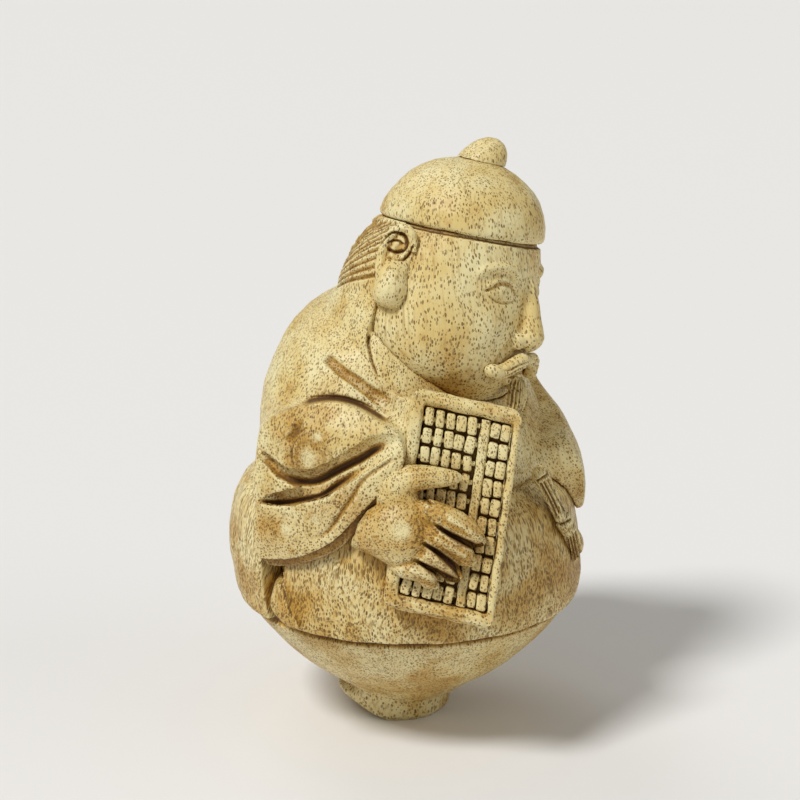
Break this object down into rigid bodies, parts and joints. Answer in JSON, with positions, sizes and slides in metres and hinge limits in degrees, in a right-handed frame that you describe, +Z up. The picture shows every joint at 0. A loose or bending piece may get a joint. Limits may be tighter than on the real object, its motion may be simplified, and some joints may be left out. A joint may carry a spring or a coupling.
{
  "type": "bamboo root carving",
  "caption": "Carved bamboo root figure of a plump merchant in robe and round cap, holding an abacus against the belly and standing on a narrow root stub.",
  "frame": {"origin": "on the flat underside of the root stub, on the stub's axis", "axes": "+Z up, -Y toward the figure's front, -X toward the figure's right side, where the abacus is held"},
  "size_m": [0.0569, 0.0556, 0.09],
  "materials": {
    "bamboo_root": "oiled and hand polished, with dark vessel dots and streaks and amber staining in the cuts"
  },
  "bodies": {
    "root": {"foot": "bamboo_root", "lower_bowl": "bamboo_root", "robe_front": "bamboo_root", "robe_back": "bamboo_root", "right_vent_fold": "bamboo_root", "left_vent_fold": "bamboo_root", "jacket": "bamboo_root", "collar": "bamboo_root", "right_sleeve": "bamboo_root", "left_sleeve": "bamboo_root", "right_sleeve_lining": "bamboo_root", "left_sleeve_lining": "bamboo_root", "right_hand": "bamboo_root", "right_thumb": "bamboo_root", "right_index_finger": "bamboo_root", "right_middle_finger": "bamboo_root", "right_ring_finger": "bamboo_root", "right_little_finger": "bamboo_root", "abacus_back_board": "bamboo_root", "abacus_top_rail": "bamboo_root", "abacus_bottom_rail": "bamboo_root", "abacus_inner_rail": "bamboo_root", "abacus_outer_rail": "bamboo_root", "abacus_beam": "bamboo_root", "abacus_rods": "bamboo_root", "abacus_lower_beads": "bamboo_root", "abacus_upper_beads": "bamboo_root", "sash_knot": "bamboo_root", "tassel_band": "bamboo_root", "tassel": "bamboo_root", "head": "bamboo_root", "hair": "bamboo_root", "right_ear": "bamboo_root", "left_ear": "bamboo_root", "right_eye": "bamboo_root", "left_eye": "bamboo_root", "right_brow": "bamboo_root", "left_brow": "bamboo_root", "nose": "bamboo_root", "right_moustache": "bamboo_root", "left_moustache": "bamboo_root", "lower_lip": "bamboo_root", "beard": "bamboo_root", "cap": "bamboo_root", "cap_knob": "bamboo_root"}
  },
  "joints": []
}
